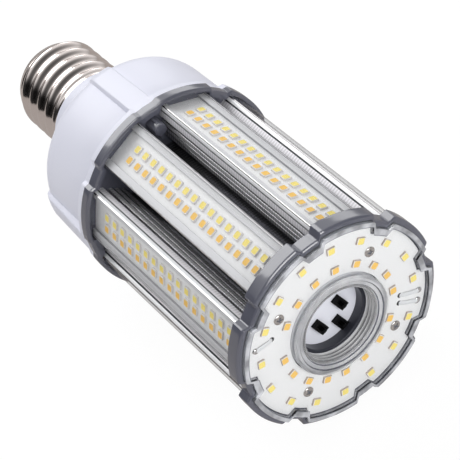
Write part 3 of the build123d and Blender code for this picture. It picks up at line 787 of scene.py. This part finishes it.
def ledBlock():
    # white case with a sunken rounded window: rings of eight corners from the foot to the window,
    # each ring given by its inset along and across, its corner cut and its height
    d = ledShape
    a, b = d["rim"]
    rings = [(0, 0, d["corner"], 0), (0, 0, d["corner"], d["side"]),
             (d["bevel"], d["bevel"], d["corner"], d["high"]), (a, b, d["window"], d["high"]),
             (a + d["wellIn"], b + d["wellIn"], d["window"], d["high"] - d["well"])]
    sign = np.array([(1, -1), (1, -1), (1, 1), (1, 1), (-1, 1), (-1, 1), (-1, -1), (-1, -1)])
    pull = np.array([(1, 0), (0, 1), (0, 1), (1, 0), (1, 0), (0, 1), (0, 1), (1, 0)])
    size = np.array([d["long"], d["short"]]) / 2
    points = [np.c_[sign * (size - [i, j] - pull * cut), np.full(8, w)] for i, j, cut, w in rings]
    # the sides and foot carry the painted shade of the given side finish
    tones = [np.repeat([2, 2, 0, 1], 8), [2], [1]]  # 2 side and foot, 0 rim, 1 window
    return np.concatenate(points), capped(len(rings), 8), tones


def ledGroup(where, light, side, origin, longWay, shortWay, out):
    # one block at every origin, turned to its long, short and outward directions
    points, blocks, tones = ledBlock()
    count = len(origin)
    spread = origin[:, None] + points @ np.stack([longWay, shortWay, out], axis=1)
    shift = len(points) * np.arange(count)[:, None, None]
    blocks = [(block + shift).reshape(-1, block.shape[1]) for block in blocks]
    tone = np.concatenate([np.tile(t, count) for t in tones])
    finishes = [caseWhite, {"cool": phosphorCool, "warm": phosphorWarm}[light], side]
    addPiece("%sLeds%s" % (where, light.capitalize()), [(spread.reshape(-1, 3), blocks, tone)], finishes,
             "led_" + light, "%s_leds_%s" % (where, light), sharp=20)


def makeStripLeds():
    # a cool and a warm row along every strip
    d = stripLeds
    z = np.linspace(sinkLow + d["first"], sinkHigh - d["last"], d["count"])
    angle = np.radians(stripStep * np.arange(strips))
    out = polar(1.0, angle, 0.0)
    side = polar(1.0, angle + np.pi / 2, 0.0)
    along = np.broadcast_to([0.0, 0.0, 1.0], out.shape)
    for light, offset in (("cool", -d["row"]), ("warm", d["row"])):
        line = out * d["boardTop"] + side * offset
        origin = (line[:, None] + along[:, None] * z[None, :, None]).reshape(-1, 3)
        ways = [np.repeat(way, d["count"], axis=0) for way in (side, along, out)]
        ledGroup("strip", light, caseSideShade, origin, *ways)


def makeEndLeds():
    # an outer circle of cool and an inner circle of warm LEDs
    for light, ring in (("cool", "outer"), ("warm", "inner")):
        angle = np.radians(endFace[ring + "Angles"])
        out = polar(1.0, angle, 0.0)
        around = polar(1.0, angle + np.pi / 2, 0.0)
        up = np.broadcast_to([0.0, 0.0, 1.0], out.shape)
        origin = out * endFace[ring] + [0, 0, boardHigh]
        ledGroup("end", light, caseSideDeepShade, origin, around, out, up)


makeStripLeds()
makeEndLeds()
print("LEDs made")

# End face

endBoardShape = {"lobe": 38.7, "gap": 35.5, "port": 20.5, "edge": 0.25}


def makeEndBoard():
    # lobed plate, its cut edge and the bevel above it painted dark as a line of shade
    d = endBoardShape
    lobe, gap, port, edge = d["lobe"], d["gap"], d["port"], d["edge"]
    rows = [roundRow(port, boardHigh), roundRow(port, boardLow), lobeRow(lobe, gap, boardLow),
            lobeRow(lobe, gap, boardHigh - edge), lobeRow(lobe - edge, gap - edge, boardHigh)]
    points, blocks = lobedSweep(rows, 0.05)
    perRow = np.repeat([0, 0, 1, 1, 0], rowsPerCorner)
    tone = np.repeat(perRow, len(blocks[0]) // len(perRow))
    addPiece("endBoard", [(points, blocks, tone)], [boardWhite, shadeDark], "end_board", "end_board")


screwShape = {
    "radius": 2.1, "high": 0.83, "edge": 0.28, "domePower": 2.6, "domeOver": 0.02, "slot": 0.34,
    "slotFlank": 0.14, "slotLong": 1.25, "slotEnd": 0.2, "deep": 0.5, "shadeFrom": 0.4, "sides": 96,
    "recessRows": (0.02, 1.5, 22), "edgeFrom": 1.6, "edgeRows": 8, "firstTurn": 20, "nextTurn": 31}


def makeEndScrews():
    # pan head on a polar grid: dome height less a cross-shaped recess, whose deep part is painted dark as
    # shade
    d = screwShape
    edge = np.linspace(d["edgeFrom"], d["radius"], d["edgeRows"])
    r = np.concatenate([np.linspace(*d["recessRows"]), edge])[:, None]
    a = fullTurn(d["sides"])
    x, y = np.abs(r * np.cos(a)), np.abs(r * np.sin(a))
    dome = np.sqrt(np.clip(1 - (r / (d["radius"] + d["domeOver"])) ** d["domePower"], 0, 1))
    arm = [rampEase((d["slot"] - across) / d["slotFlank"]) * rampEase((d["slotLong"] - along) / d["slotEnd"])
           for across, along in ((x, y), (y, x))]
    cross = np.maximum(*arm)
    high = boardHigh + d["edge"] + (d["high"] - d["edge"]) * dome - d["deep"] * cross
    grid = np.concatenate([polar(r, a, high), polar(d["radius"], a, boardHigh + 0 * a)])
    # painted shade: 1 where the recess is deep enough
    tone = np.append((cross > d["shadeFrom"]).ravel(), [1, 0]).astype(int)
    blocks = capped(len(grid), d["sides"])
    islands = []
    for k, angle in enumerate(quarters + endFace["screwAngle"]):
        head = spun(grid.reshape(-1, 3), d["firstTurn"] + d["nextTurn"] * k)
        islands.append((spun(head + [endFace["screwCircle"], 0, 0], angle), blocks, tone))
    addPiece("endScrews", islands, [steel, shadeDark], "steel", "end_screws", sharp=40)


leadShape = {
    "high": 0.43, "wide": 0.88, "sunk": 0.7, "crown": 0.75, "hole": 1.0, "holeOut": 0.1, "holeEdge": 0.05,
    "holeHigh": 0.03, "blob": 1.4, "blobHigh": 0.85, "blobPower": 0.8, "lopside": (0.12, 0.1), "nextTurn": 40,
    "holes": [(28.7, 38.6), (27.0, 229.2), (27.0, 222.1)],
    "pads": [(35.4, 43.7), (35.4, 227.6), (35.4, 220.4)]}


def makeLeads():
    # each lead is one quadratic arc out of its hole and down to its pad, the hole painted as shade by a flat
    # black disc; each joint is a lopsided dome
    d = leadShape
    leads, joints = [], []
    t = np.linspace(0, 1, 24)[:, None]
    u = np.linspace(0, np.pi / 2, 10)
    ring = [(0, d["holeHigh"]), (d["hole"], d["holeHigh"]), (d["hole"] + d["holeEdge"], 0), (0, 0)]
    holeShadePoints, holeShadeFaces = turnedSolid(ring, 28)
    blob = np.stack([d["blob"] * np.sin(u) ** d["blobPower"], d["blobHigh"] * np.cos(u)], 1)
    blobPoints, blobFaces = turnedSolid(np.concatenate([blob, [[0, 0]]]), 32)
    for k, (hole, pad) in enumerate(zip(d["holes"], d["pads"])):
        holeAngle, padAngle = np.radians(hole[1]), np.radians(pad[1])
        start = polar(hole[0], holeAngle, boardHigh - d["sunk"])
        crown = polar(hole[0], holeAngle, boardHigh + d["crown"])
        end = polar(pad[0], padAngle, boardHigh + d["high"] - 0.01)
        path = (1 - t) ** 2 * start + 2 * t * (1 - t) * crown + t ** 2 * end
        path[:, 2] = np.minimum(path[:, 2], boardHigh + d["high"])
        leads.append((*tube(path, d["high"], d["wide"]), 0))
        # painted shade: a thin black disc on the board over the hole
        leads.append((holeShadePoints + polar(hole[0] + d["holeOut"], holeAngle, boardHigh), holeShadeFaces, 1))
        lopsided = blobPoints * [1.0 + d["lopside"][0] * np.sin(k), 1.0 - d["lopside"][1] * np.cos(k), 1.0]
        joints.append((spun(lopsided, d["nextTurn"] * k) + polar(pad[0], padAngle, boardHigh), blobFaces, 0))
    addPiece("endLeads", leads, [wireWhite, blackInsulatorAndHoleShade], "lead", "end_leads")
    addPiece("endSolder", joints, [tin], "solder", "end_solder")


coverShape = {
    "gap": 0.15, "thick": 0.95, "inset": 2.2, "gapInset": 2.1, "skirtLobe": 39.1, "skirtGap": 35.9,
    "shadeLine": 0.3, "port": 15.0, "wall": 1.2, "rim": 5.2, "mouth": 1.3, "grooves": 3, "groove": 0.8,
    "grooveFrom": 0.3, "grooveTo": 0.4, "sunk": 0.5, "round": 0.18, "shadeLineRound": 0.05,
    "steps": [(0, 0.25), (0.3, 0), (2.0, 0), (2.35, 0.6), (3.7, 0.65), (4.0, 1.2)]}


def makeCover():
    # lobed cap whose skirt stands in the ring's rebate, with a round port collar grooved inside
    d = coverShape
    ledge = ringHigh - ringShape["ledge"]
    under = boardHigh + ledShape["high"] + d["gap"]
    top = under + d["thick"]
    lobe, gap = lobeRadius - d["inset"], lobeRadius - ringShape["recess"] - d["gapInset"]
    skirtLobe, skirtGap, shadeLine = d["skirtLobe"], d["skirtGap"], d["shadeLine"]
    port, collar, wall, foot = d["port"], d["port"] + d["rim"], d["wall"], boardLow - d["sunk"]
    mouth = rimTop - d["mouth"]
    grooveTop, grooveLow = mouth - d["grooveFrom"], portLow + d["grooveTo"]
    pitch = (grooveTop - grooveLow) / d["grooves"]
    stepped = [(collar - inwards, rimTop - down) for inwards, down in d["steps"]] + [(port, mouth)]
    for k in range(d["grooves"]):
        high = grooveTop - k * pitch
        stepped += [(port, high), (port + d["groove"], high - 0.5 * pitch)]
    stepped += [(port, grooveLow), (port, portLow)]
    back = [(port + wall, portLow), (port + wall, under), (collar - wall, under), (collar - wall, foot),
            (collar, foot), (collar, under)]
    skirt = [lobeRow(lobe, gap, ledge), lobeRow(lobe, gap, top), lobeRow(skirtLobe, skirtGap, top),
             lobeRow(skirtLobe - shadeLine, skirtGap - shadeLine, top)]
    inner = [lobeRow(skirtLobe, skirtGap, under), lobeRow(skirtLobe, skirtGap, ledge)]
    rows = skirt + [roundRow(*place) for place in [(collar, top), *stepped, *back]] + inner
    cuts = np.full(len(rows), d["round"])
    cuts[2:4] = d["shadeLineRound"]
    points, blocks = lobedSweep(rows, cuts)
    # finish of the stretch that follows each row: 2 skirt, 0 plate, 1 collar, 3 hidden side, 4 painted shade
    # on steps and groove sides that look away from the mouth, 5 top of the skirt, 6 a thin painted shade line
    # inside it, 7 groove sides
    onCollar = [1, 1, 1, 4, 1, 4, 1, 1] + [4, 7] * d["grooves"] + [3, 3]
    stretch = np.array([2, 5, 6, 0] + onCollar + [3] * (len(back) - 1) + [0, 5, 2])
    perRow = np.repeat(stretch, rowsPerCorner)
    perRow[::rowsPerCorner] = np.roll(stretch, 1)
    tone = np.repeat(perRow, len(blocks[0]) // len(perRow))
    finishes = [clearCover, clearRim, clearSkirt, clearBack, clearShade, clearTop, clearLine, clearThread]
    addPiece("endCover", [(points, blocks, tone)], finishes, "clear", "end_cover", sharp=45)


makeEndBoard()
makeEndScrews()
makeLeads()
makeCover()
print("end face made")

# Switch well

sleeveShape = {"bore": 13.7, "body": 18.2, "flange": 20.1, "flangeHigh": 1.05, "edge": 0.1, "lip": 0.4}


def makeSleeve():
    # dark turned ring with a flange and a rounded inner lip
    d = sleeveShape
    bore, body, flange = d["bore"], d["body"], d["flange"]
    under = sleeveHigh - d["flangeHigh"]
    profile = [(bore, sleeveLow), (bore, sleeveHigh), (flange, sleeveHigh), (flange, under), (body, under),
               (body, sleeveLow)]
    cuts = np.full(len(profile), d["edge"])
    cuts[1] = d["lip"]
    addPiece("switchSleeve", [(*turnedRing(profile, cuts), 0)], [sleeveDark], "sleeve", "switch_sleeve")


makeSleeve()
print("sleeve made")

# Finishes of the CAD nodes, by their slots; the switches' edges are broken a little

nodeFinish = {
    "strip_board": stripBoardWhite, "end_board": boardWhite, "switch_board": portBoardWhite,
    "switch_case": blackPlastic, "switch_knob": blackPlastic, "driver_board": driverGreen,
    "ferrite": ferriteDark, "winding": copperWire, "can": canSleeve, "lead": wireWhite, "steel": steel,
    "aluminium": aluminium, "clear": clearCover, "ring": ringGrey, "housing": housingWhite,
    "nickel": nickel, "insulator": blackInsulatorAndHoleShade, "contact": brass, "solder": tin, "sleeve": sleeveDark,
    "led_cool": phosphorCool, "led_warm": phosphorWarm}
switchEdge = {"merge": 0.00001, "width": 0.00012, "segments": 2}
slotOf = {s["node"]: s["material_slot"] for s in frame["record"]["subparts"]}
for name, node in frame["nodes"].items():
    node.data.materials.clear()
    node.data.materials.append(nodeFinish[slotOf[name]])
    if slotOf[name] in ("switch_case", "switch_knob"):
        weld = node.modifiers.new("weld", "WELD")
        weld.merge_threshold = switchEdge["merge"]
        bevel = node.modifiers.new("bevel", "BEVEL")
        bevel.width = switchEdge["width"]
        bevel.segments = switchEdge["segments"]
print("nodes painted")

# Camera, floor and light. The camera's place is counted from the point of the axis that it aims near.

view = {"from": (-0.174852, -0.432361, 0.509606), "target": 214.0, "lens": 154.149, "sensor": 36,
        "right": (0.7844402276, -0.5548520280, -0.2771150597),
        "up": (0.5730027856, 0.4773989489, 0.6661516728),
        "back": (-0.2373211684, -0.6813438710, 0.6924226978)}
camera = bpy.data.cameras.new("camera")
camera.lens = view["lens"]
camera.sensor_width = view["sensor"]
cameraObject = bpy.data.objects.new("camera", camera)
scene.collection.objects.link(cameraObject)
place = Matrix([view["right"], view["up"], view["back"]]).transposed().to_4x4()
place.translation = Vector(view["from"]) + Vector((0, tipY - view["target"] / 1000, axisZ))
cameraObject.matrix_world = place
scene.camera = cameraObject


def raysSeen(link):
    # 1 for rays from the camera or through clear pieces, and 1 for mirrored rays
    kinds = [link.node("ShaderNodeLightPath", output="Is %s Ray" % kind)
             for kind in ("Camera", "Transmission", "Glossy")]
    return link.math("MAXIMUM", kinds[0], kinds[1]), kinds[2]


floorShape = {
    "half": 6.0, "drop": 0.0002, "colour": (0.86, 0.86, 0.86, 1), "mirrored": (0.45, 0.42, 0.40),
    "glow": 1.03, "cover": 0.92}
floorMesh = bpy.data.meshes.new("floor")
corners = np.array([(-1, -1, 0), (1, -1, 0), (1, 1, 0), (-1, 1, 0)]) * floorShape["half"]
floorMesh.from_pydata((corners - [0, 0, floorShape["drop"]]).tolist(), [], [(0, 1, 2, 3)])
floor = bpy.data.objects.new("floor", floorMesh)
scene.collection.objects.link(floor)
floorFinish, surface, link = newFinish("floorWhite", {
    "Base Color": floorShape["colour"], "Roughness": 0.9, "Specular IOR Level": 0.0})
shown, glossy = raysSeen(link)
glow = link.node("ShaderNodeEmission", None, {
    "Color": shown.tint(floorShape["mirrored"], (1, 1, 1)), "Strength": floorShape["glow"]})
glowing = link.math("MAXIMUM", shown, glossy) * floorShape["cover"]
showMixed(glowing, Link(link.tree, surface.outputs[0]), glow)
floorMesh.materials.append(floorFinish)

# the sky is white where it is seen, and mirrored rays find a bright panel above and behind the lamp
studio = {"above": ((0.35, 0, 1), 0.10, 0.55, 0.03), "behind": ((0, 1, 0), -0.45, 0.1, 0.12), "fill": 0.5}
world = bpy.data.worlds.new("studio")
scene.world = world
world.use_nodes = True
sky = Link(world.node_tree)
toward = sky.node("ShaderNodeTexCoord", output="Generated")


def skyRamp(way, start, end, least):
    # from least to 1 as the way's share of the ray's direction goes from start to end
    along = sky.node("ShaderNodeVectorMath", {"operation": "DOT_PRODUCT"}, {0: toward, 1: way}, "Value")
    return sky.node("ShaderNodeMapRange", {"interpolation_type": "SMOOTHSTEP"}, {
        "Value": along, "From Min": start, "From Max": end, "To Min": least, "To Max": 1.0})


shown, glossy = raysSeen(sky)
panel = skyRamp(*studio["above"]) * skyRamp(*studio["behind"])
strength = shown + glossy * panel + (1 - sky.math("MAXIMUM", shown, glossy)) * studio["fill"]
background = world.node_tree.nodes["Background"]
background.inputs["Color"].default_value = (1, 1, 1, 1)
feed(background, strength, "Strength")


def softbox(name, place, aim, width, height, watts):
    # rectangular lamp facing a point
    data = bpy.data.lights.new(name, "AREA")
    data.shape = "RECTANGLE"
    data.size = width
    data.size_y = height
    data.energy = watts
    box = bpy.data.objects.new(name, data)
    scene.collection.objects.link(box)
    box.location = place
    box.rotation_euler = (Vector(aim) - Vector(place)).to_track_quat("-Z", "Y").to_euler()


# place, aim, width, height and watts
lights = {"backBox": ((-0.03, 0.85, 1.0), (0, 0, 0.04), 1.08, 0.9, 10),
          "rightBox": ((0.80, 0.80, 0.42), (0, 0, 0.04), 0.5, 0.4, 1.0),
          "frontBox": ((0.06, -1.25, 0.48), (0, -0.1, 0.04), 0.8, 0.5, 8)}
for name, values in lights.items():
    softbox(name, *values)
print("stage made")
